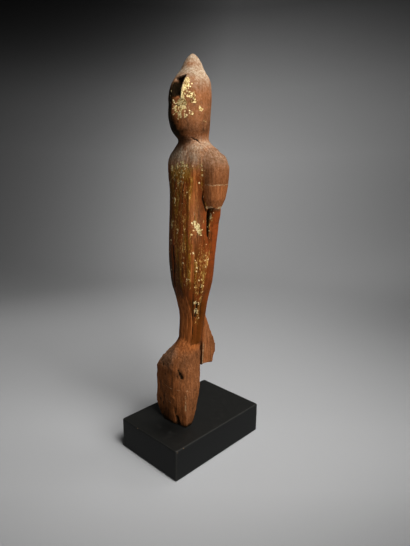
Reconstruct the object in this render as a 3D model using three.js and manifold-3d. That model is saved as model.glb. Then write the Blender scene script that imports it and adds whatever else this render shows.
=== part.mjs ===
// A small standing figure carved from one piece of wood, worn smooth and partly broken away, on a black block.
// Millimetres, +Z up. The figure faces -Y and its left side is +X. The origin is under the middle of the block.
import * as THREE from "three";
import { mergeVertices } from "three/addons/utils/BufferGeometryUtils.js";
import Module from "manifold-3d";

const wasm = await Module();
wasm.setup();

// The block
const blockWidth = 100; // along X
const blockDepth = 150; // along Y
const blockHeight = 40;
const blockEdge = 1; // softened edges and corners

// The figure on it
const figureHeight = 431; // foot to the tip of the topknot
const figureX = 0; // where its axis stands, from the middle of the block
const figureY = 0;
const seatGap = 0.3; // between the foot and the block

// How finely the rounded forms are cut
const trunkSides = 60;
const trunkStep = 8; // height of a ring on the trunk
const headStep = 3.3; // and on the head
const limbSides = 18;
const limbStep = 11; // height of a ring on an arm or a fold

// Every number in the carving below is in thousandths of the figure's height.
// Heights are counted from its foot, and X and Y from its axis.
const share = figureHeight / 1000;

// The trunk's sections: at, to its left, to its right, front, back, squareness, where 2 is an ellipse, and how
// far out the flat cut lies that leaves a ridge down the robe's front left. At 120 it's outside the wood.
const trunk = [
  [139, 37, 37, -44, 7, 2.4, 60],
  [205, 35, 35, -40, 11, 2.4, 60],
  [236, 34, 34, -38, 16, 2.4, 58],
  [266, 34, 34, -36, 22, 2.4, 52],
  [301, 34, 34, -34, 27, 2.4, 41],
  [324, 36.5, 36.5, -36.5, 29, 2.4, 41],
  [359, 44, 44, -44, 33, 2.4, 45],
  [394, 54, 54, -52, 38, 2.4, 53.5],
  [429, 61, 61, -56, 42, 2.4, 58],
  [463, 65, 65, -58, 43, 2.4, 60],
  [510, 65, 63.5, -60, 41, 2.4, 61.5],
  [556, 63, 59, -61.5, 37, 2.4, 61.5],
  [603, 63, 54.5, -60.5, 35, 2.4, 61.5],
  [649, 67, 57, -58, 37, 2.4, 61.5],
  [684, 73, 66, -55.5, 39.5, 2.3, 62],
  [719, 88, 81, -51, 42, 2.2, 67],
  [747, 91, 82, -46, 44, 2.15, 86],
  [765, 79, 66, -42, 45, 2.1, 120],
  [779, 52, 47, -40.5, 43, 2.05, 120],
  [791, 38.5, 38.5, -41.5, 41, 2, 120],
  [802, 41.5, 41.5, -53, 39.5, 2, 120],
  [816, 47, 47, -64, 39.5, 2, 120],
  [835, 50, 50, -70, 40, 2, 120],
  [858, 51, 51, -72.5, 41, 2, 120],
  [881, 51.5, 51.5, -73, 43.5, 2, 120],
  [904, 50.5, 50.5, -71.5, 44, 2, 120],
  [925, 48.5, 48.5, -64, 42, 2, 120],
  [939, 44.5, 44.5, -54, 38, 2, 120],
  [951, 37, 37, -44.5, 30, 2, 120],
  [964, 28, 28, -34.5, 22.5, 2, 120],
  [976, 23, 23, -29, 17.5, 2, 120],
  [990, 14.5, 14.5, -20, 9, 2, 120],
  [997, 6.5, 6.5, -12.5, 1, 2, 120],
  [1000, 2, 2, -8, -4, 2, 120],
];

const ridgeTurn = THREE.MathUtils.degToRad(-32); // the way that the flat cut faces, turned from its left
const neckAt = 785; // the head's finer rings run from here
const crownAt = 960; // up to here

// Arms and hanging folds: at, middle x, middle y, half width, half depth. They run downwards.
const leftArm = [
  [778, 47, 5, 6, 6],
  [770, 55, 6, 15, 19],
  [760, 63, 7, 22, 27],
  [742, 71, 9, 29, 36],
  [722, 73, 9, 30, 38],
  [695, 73, 9, 29, 37],
  [661, 70.5, 9, 28, 35],
  [638, 69, 9, 24, 30],
  [617, 65.5, 9.5, 16.5, 20.5],
];
const rightArm = [
  [775, -40, 8, 6, 6],
  [767, -48, 9, 15, 18],
  [756, -57, 11, 22, 26],
  [738, -64, 13, 25, 30],
  [715, -67, 14, 25, 30],
  [690, -67, 14, 23, 28],
  [665, -65, 14, 19, 24],
  [649, -61, 14, 13, 17],
];
const armSquareness = 2.1;
const foldSquareness = 2.6;
const leftFold = [
  [652, 57, 20, 14, 16],
  [603, 57, 21, 16, 18.5],
  [580, 55, 20.5, 13, 15.5],
  [556, 54, 20, 13, 14.5],
  [510, 52, 17.5, 12, 14],
  [463, 50, 14, 12, 13.5],
  [417, 46.5, 12.5, 11, 13],
  [371, 38, 7, 10.5, 13],
  [324, 32.5, 3.5, 9.5, 12],
  [278, 28.5, -1, 9.5, 11.5],
  [235, 28, -8, 9.5, 11],
];

// The carved foot and what is left of the base under it, as a rough-hewn block with eight upright edges.
// Each edge runs upwards: at, x, y.
const footEdges = [
  [[0, -28, -89], [10, -50, -85], [42, -67, -83], [160, -65, -83], [190, -53, -66], [228, -33, -32],
    [260, -26, -20]],
  [[0, -4, -88], [165, -4, -87], [192, -6, -82], [232, -10, -50], [260, -10, -22]],
  [[0, 22, -87], [100, 20, -87], [160, 20, -85], [190, 23, -66], [225, 18, -46], [260, 12, -22]],
  [[0, 57, -81], [60, 54, -77], [120, 49, -68], [160, 45, -58], [205, 38, -42], [260, 26, -20]],
  [[0, 52, -50], [40, 53, -34], [104, 51, -21], [190, 42, -12], [260, 28, -10]],
  [[0, 22, -44], [50, 26, -14], [110, 28, 2], [200, 26, 8], [260, 22, 0]],
  [[0, -26, -46], [50, -30, -16], [110, -32, 2], [200, -28, 8], [260, -22, 0]],
  [[0, -46, -60], [42, -64, -46], [160, -58, -28], [200, -40, -20], [260, -26, -14]],
];

// The robe's back hem, which hangs free behind the ankles and flares. Each corner runs upwards: at, x, y.
const hemEdges = [
  [[142, 11, 26], [236, 11, 22], [350, 16, -4]],
  [[150, 18, 31], [230, 18, 28], [350, 25, 2]],
  [[150, 27, 60], [188, 33, 63], [215, 33, 62], [262, 27, 46], [305, 22, 31], [350, 22, 18]],
  [[155, -26, 58], [192, -32, 61], [222, -31, 58], [262, -26, 44], [305, -22, 31], [350, -22, 18]],
  [[150, -20, 31], [230, -20, 27], [350, -24, 0]],
];

// The worn features in low relief on the front of the head: side to side, at, half width, half height, rise.
// A feature off the middle is there on both sides.
const faceRelief = [
  [0, 888, 30, 7, 1.5], // brow
  [0, 866, 6.5, 19, 5], // nose
  [0, 853, 9, 7, 3.5], // tip of the nose
  [20, 876, 11, 8, -4.5], // eye hollows
  [20, 873, 8, 4, 2], // lids
  [27, 850, 12, 14, 1.5], // cheeks
  [0, 834, 12, 5.5, 3], // lips
  [0, 824, 12, 4, -1.5], // under the lips
  [0, 812, 13, 8, 3], // chin
];
// The ears lie flat to the head: front to back, at, half depth, half height, and rise.
const earRelief = [4, 862, 7, 24, 4.5];

// Openings cut in the wood: middle, half lengths, and the lean about X and Y in degrees.
const armGap = { middle: [56, -4, 604], half: [24, 7.5, 68], lean: [-5, 3] };
const foreheadSplit = { middle: [5, -66, 918], half: [12, 16, 25], lean: [0, 0] };

// A smooth value of one column of a table of sections at a height, flat at both ends.
function smoothValue(table, column, at) {
  const last = table.length - 1;
  const rising = table[last][0] > table[0][0];
  const rows = rising ? table : [...table].reverse();
  if (at <= rows[0][0]) return rows[0][column];
  if (at >= rows[last][0]) return rows[last][column];
  let i = 0;
  while (rows[i + 1][0] < at) i++;
  const slope = (k) => {
    const below = Math.max(0, k - 1);
    const above = Math.min(last, k + 1);
    return (rows[above][column] - rows[below][column]) / (rows[above][0] - rows[below][0]);
  };
  const span = rows[i + 1][0] - rows[i][0];
  const t = (at - rows[i][0]) / span;
  const [a, b] = [rows[i][column], rows[i + 1][column]];
  const [m, n] = [slope(i) * span, slope(i + 1) * span];
  return (
    a * (1 + 2 * t) * (1 - t) ** 2 + m * t * (1 - t) ** 2 +
    b * t * t * (3 - 2 * t) + n * t * t * (t - 1)
  );
}

// A point on an upright edge at a height, straight between the points given.
function edgePoint(edge, at) {
  if (at <= edge[0][0]) return edge[0].slice(1);
  let i = 0;
  while (i < edge.length - 2 && edge[i + 1][0] < at) i++;
  const t = Math.min(1, (at - edge[i][0]) / (edge[i + 1][0] - edge[i][0]));
  return [1, 2].map((k) => edge[i][k] + (edge[i + 1][k] - edge[i][k]) * t);
}

// A closed skin over rings of points that go up, each ring anticlockwise seen from above.
function skin(rings) {
  const n = rings[0].length;
  const points = rings.flat();
  const faces = [];
  for (let r = 0; r + 1 < rings.length; r++)
    for (let i = 0; i < n; i++) {
      const [a, b] = [r * n + i, r * n + ((i + 1) % n)];
      faces.push(a, b, b + n, a, b + n, a + n);
    }
  for (const [start, up] of [[0, false], [(rings.length - 1) * n, true]]) {
    const ring = points.slice(start, start + n);
    const middle = points.push([0, 1, 2].map((k) => ring.reduce((sum, p) => sum + p[k], 0) / n)) - 1;
    for (let i = 0; i < n; i++) {
      const [a, b] = [start + i, start + ((i + 1) % n)];
      faces.push(...(up ? [a, b, middle] : [b, a, middle]));
    }
  }
  const geometry = new THREE.BufferGeometry();
  geometry.setAttribute("position", new THREE.Float32BufferAttribute(points.flat(), 3));
  geometry.setIndex(faces);
  return geometry;
}

// Heights from low to high, evenly stepped, that include both ends.
function heights(low, high, step) {
  const count = Math.max(1, Math.round((high - low) / step));
  return Array.from({ length: count + 1 }, (_, i) => low + ((high - low) * i) / count);
}

// A closed geometry as a solid that can be joined and cut.
function solid(geometry) {
  const bare = geometry.index ? geometry.toNonIndexed() : geometry.clone();
  bare.deleteAttribute("normal");
  bare.deleteAttribute("uv");
  const merged = mergeVertices(bare, 1e-4);
  return new wasm.Manifold(
    new wasm.Mesh({
      numProp: 3,
      vertProperties: merged.attributes.position.array,
      triVerts: new Uint32Array(merged.index.array),
    }),
  );
}

// A solid as a geometry again.
function geometryOf(made) {
  const mesh = made.getMesh();
  const geometry = new THREE.BufferGeometry();
  geometry.setAttribute("position", new THREE.BufferAttribute(mesh.vertProperties, 3));
  geometry.setIndex(new THREE.BufferAttribute(mesh.triVerts, 1));
  const flat = geometry.toNonIndexed();
  flat.computeVertexNormals();
  return flat;
}

// A soft mound at a place, 1 at its middle and 0 well away from it.
function mound(distance, halfWidth) {
  return Math.exp(-((distance / halfWidth) ** 2));
}

// The head, chest, robe and legs as one rounded form.
function trunkSolid() {
  const body = heights(trunk[0][0] * share, neckAt * share, trunkStep);
  const head = heights(neckAt * share, crownAt * share, headStep);
  const tip = trunk.filter((row) => row[0] > crownAt).map((row) => row[0]);
  const levels = [...body.slice(0, -1), ...head].map((z) => z / share).concat(tip);
  const rings = levels.map((at) => {
    const [left, right, front, back, square, cut] = [1, 2, 3, 4, 5, 6].map((k) => smoothValue(trunk, k, at));
    const middle = (front + back) / 2;
    const depth = (back - front) / 2;
    const [cutX, cutY] = [Math.cos(ridgeTurn), Math.sin(ridgeTurn)];
    return Array.from({ length: trunkSides }, (_, i) => {
      const angle = (i / trunkSides) * 2 * Math.PI;
      const [c, s] = [Math.cos(angle), Math.sin(angle)];
      const width = c > 0 ? left : right;
      const round = (Math.abs(c / width) ** square + Math.abs(s / depth) ** square) ** (-1 / square);
      const toCut = (cut - middle * cutY) / Math.max(1e-6, c * cutX + s * cutY);
      const reach = Math.min(round, toCut);
      const [x, y] = [c * reach, middle + s * reach];
      const rise = faceRelief.reduce((sum, [aside, up, halfWidth, halfHeight, amount]) => {
        return sum + amount * mound(Math.abs(x) - aside, halfWidth) * mound(at - up, halfHeight);
      }, 0);
      const [along, up, halfDepth, halfHeight, amount] = earRelief;
      const ear = amount * mound(y - along, halfDepth) * mound(at - up, halfHeight) * Math.sign(c);
      return [(x + ear) * share, (y - (s < 0 ? rise : 0)) * share, at * share];
    });
  });
  return solid(skin(rings));
}

// An arm or a hanging fold, rounded in section and cut flat at both ends.
function limbSolid(path, square) {
  const low = path[path.length - 1][0];
  const high = path[0][0];
  const rings = heights(low * share, high * share, limbStep).map((z) => {
    const at = z / share;
    const [x, y, width, depth] = [1, 2, 3, 4].map((k) => smoothValue(path, k, at));
    return Array.from({ length: limbSides }, (_, i) => {
      const angle = (i / limbSides) * 2 * Math.PI;
      const [c, s] = [Math.cos(angle), Math.sin(angle)];
      const reach = (Math.abs(c / width) ** square + Math.abs(s / depth) ** square) ** (-1 / square);
      return [(x + c * reach) * share, (y + s * reach) * share, z];
    });
  });
  return solid(skin(rings));
}

// A rough-hewn block between upright edges, whose ends may be at different heights.
function hewnSolid(edges) {
  const levels = [...new Set(edges.flatMap((edge) => edge.map((p) => p[0])))].sort((a, b) => a - b);
  const rings = levels.map((at) =>
    edges.map((edge) => {
      const [x, y] = edgePoint(edge, at);
      return [x * share, y * share, Math.max(at, edge[0][0]) * share];
    }),
  );
  return solid(skin(rings));
}

// A lens-shaped opening, leaning as given.
function lens({ middle, half, lean }) {
  const geometry = new THREE.SphereGeometry(1, 14, 10);
  geometry.scale(...half.map((v) => v * share));
  geometry.rotateX(THREE.MathUtils.degToRad(lean[0]));
  geometry.rotateY(THREE.MathUtils.degToRad(lean[1]));
  geometry.translate(...middle.map((v) => v * share));
  return solid(geometry);
}

function figureGeometry() {
  const rightFold = leftFold.map(([at, x, ...rest]) => [at, -x, ...rest]);
  const parts = [
    trunkSolid(),
    limbSolid(leftArm, armSquareness),
    limbSolid(rightArm, armSquareness),
    limbSolid(leftFold, foldSquareness),
    limbSolid(rightFold, foldSquareness),
    hewnSolid(footEdges),
    hewnSolid(hemEdges),
  ];
  let figure = parts.reduce((sum, part) => sum.add(part));
  for (const opening of [armGap, foreheadSplit]) figure = figure.subtract(lens(opening));
  return geometryOf(figure);
}

// The block, with all its edges softened.
function blockGeometry() {
  const [w, d] = [blockWidth / 2, blockDepth / 2];
  const outline = (inset) => {
    const [x, y] = [w - inset, d - inset];
    return [[-x, -y + blockEdge], [-x + blockEdge, -y], [x - blockEdge, -y], [x, -y + blockEdge],
      [x, y - blockEdge], [x - blockEdge, y], [-x + blockEdge, y], [-x, y - blockEdge]];
  };
  const rings = [[0, blockEdge], [blockEdge, 0], [blockHeight - blockEdge, 0], [blockHeight, blockEdge]];
  return skin(rings.map(([z, inset]) => outline(inset).map((p) => [...p, z])));
}

const wood = new THREE.MeshStandardMaterial({ name: "wood", color: 0x7a4a2a, roughness: 0.75, metalness: 0 });
const blackPaint = new THREE.MeshStandardMaterial({ name: "black_paint", color: 0x24241f, roughness: 0.6 });

const statue = new THREE.Group();
const block = new THREE.Mesh(blockGeometry(), blackPaint);
block.name = "stand_block";
statue.add(block);
const figure = new THREE.Mesh(figureGeometry(), wood);
figure.name = "carved_figure";
figure.position.set(figureX, figureY, blockHeight + seatGap);
statue.add(figure);

export default statue;
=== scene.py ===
import math
from types import SimpleNamespace

import bmesh
import bpy
import numpy as np
from mathutils import Matrix, Vector


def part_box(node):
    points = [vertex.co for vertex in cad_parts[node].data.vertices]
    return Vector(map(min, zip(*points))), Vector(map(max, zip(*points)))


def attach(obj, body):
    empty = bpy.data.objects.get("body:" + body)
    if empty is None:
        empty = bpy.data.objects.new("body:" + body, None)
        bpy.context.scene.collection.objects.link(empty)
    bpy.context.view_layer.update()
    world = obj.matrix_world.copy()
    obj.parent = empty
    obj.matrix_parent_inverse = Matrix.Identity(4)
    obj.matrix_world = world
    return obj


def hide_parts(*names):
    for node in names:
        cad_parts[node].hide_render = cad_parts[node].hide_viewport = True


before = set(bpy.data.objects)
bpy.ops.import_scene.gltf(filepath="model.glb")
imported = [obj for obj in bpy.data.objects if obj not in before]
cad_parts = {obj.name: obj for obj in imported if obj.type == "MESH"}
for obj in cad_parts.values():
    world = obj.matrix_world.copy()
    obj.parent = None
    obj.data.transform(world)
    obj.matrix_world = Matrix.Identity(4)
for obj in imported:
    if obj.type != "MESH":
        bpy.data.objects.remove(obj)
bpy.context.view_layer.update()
scene = bpy.context.scene
mm = 0.001
print("frame loaded:", sorted(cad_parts))


# camera: solved from the block's corners

cameraSetup = {
    "place": (0.39231, -0.39203, 0.37031),
    "right": (0.72302, 0.69072, 0.01227),
    "up": (-0.18195, 0.17326, 0.96792),
    "lens": 31.153,  # mm on a 36 mm long side
}


def makeCamera(setup):
    right = Vector(setup["right"]).normalized()
    up = Vector(setup["up"])
    up = (up - right * up.dot(right)).normalized()
    back = right.cross(up)
    data = bpy.data.cameras.new("camera")
    data.lens = setup["lens"]
    data.sensor_width = 36
    data.clip_start = 0.02
    data.clip_end = 20
    camera = bpy.data.objects.new("camera", data)
    turn = Matrix((right, up, back)).transposed().to_4x4()
    camera.matrix_world = Matrix.Translation(setup["place"]) @ turn
    scene.collection.objects.link(camera)
    scene.camera = camera


makeCamera(cameraSetup)
scene.view_settings.view_transform = "Standard"
scene.view_settings.look = "None"
scene.view_settings.gamma = 0.86  # a little contrast, as in a studio print
print("camera made")


# small helpers


def softStep(low, high, value):
    t = np.clip((value - low) / (high - low), 0, 1)
    return t * t * (3 - 2 * t)


def hump(value, middle, width):
    return np.exp(-(((value - middle) / width) ** 2))


def blob(points, middle, size):
    away = (points - np.array(middle)) / np.array(size)
    return np.exp(-(away**2).sum(1))


def hashed(cells, seed):
    # a steady random number from 0 to 1 for each whole-numbered cell
    x, y, z = (cells[:, i].astype(np.int64) for i in range(3))
    h = x * 374761393 + y * 668265263 + z * 2147483647 + seed * 144664649
    h = (h ^ (h >> 13)) * 1274126177
    h = h ^ (h >> 16)
    return (h & 0xFFFFFF) / float(0xFFFFFF)


def noiseAt(points, size, seed, octaves=2):
    # smooth noise from -1 to 1; size is the length of one lump along each axis
    total = np.zeros(len(points))
    weight = 1.0
    scaled = points / np.array(size)
    for octave in range(octaves):
        cell = np.floor(scaled)
        part = scaled - cell
        part = part * part * (3 - 2 * part)
        value = np.zeros(len(points))
        for corner in range(8):
            step = np.array([corner & 1, corner >> 1 & 1, corner >> 2 & 1])
            share = np.prod(np.where(step == 1, part, 1 - part), axis=1)
            value += share * hashed(cell + step, seed + octave * 17)
        total += weight * (value * 2 - 1)
        scaled = scaled * 2.03
        weight *= 0.5
    return total / (2 - 2 ** (1 - octaves))


def spots(points, low, high, size, seed):
    # soft-edged spots, where noise rises above a limit
    return softStep(low, high, noiseAt(points, size, seed))


def nearPath(points, path):
    # distance of each point to a line of straight stretches
    best = np.full(len(points), 1e9)
    for a, b in zip(path[:-1], path[1:]):
        a, b = np.array(a, float), np.array(b, float)
        along = b - a
        t = np.clip(((points - a) @ along) / (along @ along), 0, 1)
        best = np.minimum(best, np.linalg.norm(points - (a + t[:, None] * along), axis=1))
    return best


def coordinates(mesh):
    flat = np.empty(len(mesh.vertices) * 3, np.float32)
    mesh.vertices.foreach_get("co", flat)
    return flat.reshape(-1, 3).astype(float)


def normals(mesh):
    flat = np.empty(len(mesh.vertices) * 3, np.float32)
    mesh.vertex_normals.foreach_get("vector", flat)
    return flat.reshape(-1, 3).astype(float)


def edgePairs(mesh):
    flat = np.empty(len(mesh.edges) * 2, np.int32)
    mesh.edges.foreach_get("vertices", flat)
    return flat.reshape(-1, 2)


def setCoordinates(mesh, points):
    mesh.vertices.foreach_set("co", points.astype(np.float32).ravel())
    mesh.update()


def setMask(mesh, name, values):
    attribute = mesh.attributes.new(name, "FLOAT", "POINT")
    attribute.data.foreach_set("value", np.clip(values, 0, 1).astype(np.float32))


def averaged(values, pairs):
    # each value becomes the mean of its neighbours
    size = len(values)
    near, far = pairs.T
    count = np.maximum(np.bincount(pairs.ravel(), minlength=size), 1)
    columns = []
    for column in values.T:
        summed = np.bincount(near, weights=column[far], minlength=size)
        columns.append(summed + np.bincount(far, weights=column[near], minlength=size))
    return np.stack(columns, 1) / count[:, None]


def smoothed(points, pairs, rounds, strength, keep=1.04):
    # evens out facets, and fills hollows too where keep is 0; strength may differ from point to point
    strength = 0.55 * strength[:, None]
    for _ in range(rounds):
        points = points + strength * (averaged(points, pairs) - points)
        if keep:
            points = points - keep * strength * (averaged(points, pairs) - points)
    return points


def fineCopy(node, name, voxel):
    # the CAD node's own shape as an even fine mesh
    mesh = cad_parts[node].data.copy()
    work = bmesh.new()
    work.from_mesh(mesh)
    bmesh.ops.remove_doubles(work, verts=work.verts, dist=1e-6)
    work.to_mesh(mesh)
    work.free()
    mesh.materials.clear()
    draft = bpy.data.objects.new(name + "_draft", mesh)
    scene.collection.objects.link(draft)
    remesh = draft.modifiers.new("even", "REMESH")
    remesh.mode = "VOXEL"
    remesh.voxel_size = voxel * mm
    remesh.use_smooth_shade = True
    graph = bpy.context.evaluated_depsgraph_get()
    made = bpy.data.meshes.new_from_object(draft.evaluated_get(graph))
    bpy.data.objects.remove(draft)
    made.name = name
    piece = bpy.data.objects.new(name, made)
    scene.collection.objects.link(piece)
    return piece


def hollowness(points, pairs, facing, rounds):
    # mm that each point lies below its softened surroundings, less than 0 on edges
    soft = points
    for _ in range(rounds):
        soft = averaged(soft, pairs)
    return ((soft - points) * facing).sum(1)


# shader building


def addNode(tree, kind, inputs=None, **settings):
    node = tree.nodes.new(kind)
    for key, value in settings.items():
        setattr(node, key, value)
    for key, value in (inputs or {}).items():
        if isinstance(value, bpy.types.NodeSocket):
            tree.links.new(value, node.inputs[key])
        else:
            node.inputs[key].default_value = value
    return node


def mixColours(tree, share, first, second):
    node = addNode(tree, "ShaderNodeMix", data_type="RGBA", clamp_factor=True)
    for socket, value in zip((node.inputs[0], node.inputs[6], node.inputs[7]), (share, first, second)):
        if isinstance(value, bpy.types.NodeSocket):
            tree.links.new(value, socket)
        else:
            socket.default_value = value
    return node.outputs[2]


def math2(tree, operation, first, second=0.0, third=None, clamp=False):
    values = {0: first, 1: second}
    if third is not None:
        values[2] = third
    node = addNode(tree, "ShaderNodeMath", values, operation=operation)
    node.use_clamp = clamp
    return node.outputs[0]


def weighted(tree, base, *terms, clamp=False):
    # the base plus each value times its weight
    for number, (value, weight) in enumerate(terms, 1):
        base = math2(tree, "MULTIPLY_ADD", value, weight, base, clamp=clamp and number == len(terms))
    return base


def ranged(tree, value, low, high, toLow=0.0, toHigh=1.0):
    values = {"Value": value, "From Min": low, "From Max": high, "To Min": toLow, "To Max": toHigh}
    node = addNode(tree, "ShaderNodeMapRange", values, interpolation_type="SMOOTHSTEP")
    return node.outputs[0]


def mask(tree, name):
    return addNode(tree, "ShaderNodeAttribute", attribute_name=name).outputs["Fac"]


def newGroup(name, inputs, outputs):
    group = bpy.data.node_groups.new(name, "ShaderNodeTree")
    for label, value in inputs.items():
        socket = group.interface.new_socket(label, in_out="INPUT", socket_type="NodeSocketFloat")
        socket.default_value = value
    for label in outputs:
        group.interface.new_socket(label, in_out="OUTPUT", socket_type="NodeSocketFloat")
    return group, group.nodes.new("NodeGroupInput"), group.nodes.new("NodeGroupOutput")


def noiseNode(tree, place, scale, detail, rough):
    values = {"Vector": place, "Scale": scale, "Detail": detail, "Roughness": rough}
    return addNode(tree, "ShaderNodeTexNoise", values).outputs["Fac"]


def uprightPlace(group, given):
    # object coordinates, as they are and squeezed along Z, where noise runs up the wood
    place = addNode(group, "ShaderNodeTexCoord").outputs["Object"]
    squeeze = addNode(group, "ShaderNodeCombineXYZ", {0: 1.0, 1: 1.0, 2: given.outputs["Upright Stretch"]})
    values = {0: place, 1: squeeze.outputs[0]}
    return place, addNode(group, "ShaderNodeVectorMath", values, operation="MULTIPLY").outputs[0]


def makeGrainGroup():
    # upright wood grain: long streaks and fine pores, with coarse and fine changes of tone
    defaults = {"Streak Size": 620.0, "Pore Size": 1800.0, "Upright Stretch": 0.075}
    group, given, result = newGroup("woodGrain", defaults, ["Streaks", "Pores", "Clouds", "Mottle"])
    place, upright = uprightPlace(group, given)
    bend = addNode(group, "ShaderNodeTexNoise", {"Vector": place, "Scale": 25.0, "Detail": 2.0})
    values = {0: bend.outputs["Color"], 1: (0.004, 0.004, 0.0), 2: upright}
    swayed = addNode(group, "ShaderNodeVectorMath", values, operation="MULTIPLY_ADD").outputs[0]
    for label, where, size, detail, rough in (
        ("Streaks", swayed, given.outputs["Streak Size"], 4.0, 0.6),
        ("Pores", swayed, given.outputs["Pore Size"], 2.0, 0.6),
        ("Clouds", place, 60.0, 4.0, 0.65),
        ("Mottle", place, 430.0, 4.0, 0.65),
    ):
        group.links.new(noiseNode(group, where, size, detail, rough), result.inputs[label])
    return group


def makeFleckGroup():
    # a mask broken up into flecks: Amount opens it, Size is how many there are to a metre
    defaults = {"Amount": 0.5, "Size": 600.0, "Upright Stretch": 0.4, "Softness": 0.03}
    group, given, result = newGroup("flecks", defaults, ["Mask"])
    noise = noiseNode(group, uprightPlace(group, given)[1], given.outputs["Size"], 5.0, 0.68)
    limit = math2(group, "SUBTRACT", 0.78, math2(group, "MULTIPLY", given.outputs["Amount"], 0.5))
    above = math2(group, "SUBTRACT", noise, limit)
    fleck = math2(group, "DIVIDE", above, given.outputs["Softness"], clamp=True)
    some = math2(group, "GREATER_THAN", given.outputs["Amount"], 0.01)
    group.links.new(math2(group, "MULTIPLY", fleck, some), result.inputs["Mask"])
    return group


def makeWearGroup():
    # fine scuffs and dust grains for any old surface
    defaults = {"Scuff Size": 350.0, "Dust Size": 2600.0}
    group, given, result = newGroup("oldSurface", defaults, ["Scuffs", "Dust"])
    place = addNode(group, "ShaderNodeTexCoord").outputs["Object"]
    for label, size, low, high in (("Scuffs", "Scuff Size", 0.52, 0.72), ("Dust", "Dust Size", 0.35, 0.75)):
        noise = noiseNode(group, place, given.outputs[size], 5.0, 0.65)
        group.links.new(ranged(group, noise, low, high), result.inputs[label])
    return group


grainGroup = makeGrainGroup()
fleckGroup = makeFleckGroup()
wearGroup = makeWearGroup()


def useGroup(tree, group, **inputs):
    node = tree.nodes.new("ShaderNodeGroup")
    node.node_tree = group
    for label, value in inputs.items():
        name = "".join(" " + c if c.isupper() else c for c in label).strip().title()
        if isinstance(value, bpy.types.NodeSocket):
            tree.links.new(value, node.inputs[name])
        else:
            node.inputs[name].default_value = value
    return node.outputs


def colour(red, green, blue):
    # screen values from 0 to 255 as linear light
    def linear(v):
        v = v / 255
        return v / 12.92 if v <= 0.04045 else ((v + 0.055) / 1.055) ** 2.4

    return (linear(red), linear(green), linear(blue), 1)


def newMaterial(name):
    material = bpy.data.materials.new(name)
    material.use_nodes = True
    material.node_tree.nodes.clear()
    return material, material.node_tree


def finishMaterial(tree, inputs):
    shader = addNode(tree, "ShaderNodeBsdfPrincipled", inputs)
    output = addNode(tree, "ShaderNodeOutputMaterial")
    tree.links.new(shader.outputs[0], output.inputs[0])


# the carved figure

figureLook = {
    "voxel": 0.99,  # mm, the size of the fine mesh
    "smoothRounds": 66,
    "fillRounds": {"shoulders": 80, "foot": 66},
    "splitDepth": 5.5,  # mm that the split in the forehead goes in
    "bareLight": colour(184, 114, 62),
    "bareDark": colour(132, 74, 30),
    "lacquerRed": colour(150, 76, 32),
    "lacquerBrown": colour(106, 57, 9),
    "dust": colour(202, 184, 162),
    "dustShade": colour(176, 150, 122),
    "gilt": colour(152, 114, 30),
    "speck": colour(226, 186, 110),
    "leafLight": colour(255, 236, 180),
    "leafDark": colour(176, 136, 60),
    "dirt": colour(18, 8, 0),
    "pale": colour(206, 172, 132),
    # how each coat breaks up: flecks to a metre, their stretch along the grain, softness of their edges
    "flecks": {
        "lacquer": (260.0, 0.12, 0.08),
        "gilt": (520.0, 0.28, 0.2),
        "pale": (700.0, 1.0, 0.1),
        "specks": (700.0, 0.45, 0.14),
        "leaf": (420.0, 0.7, 0.06),
    },
    # how much each coat hides of what lies under it
    "cover": {"lacquer": 1.0, "gilt": 0.7, "pale": 0.9, "specks": 0.8, "leaf": 1.0},
}


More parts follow.
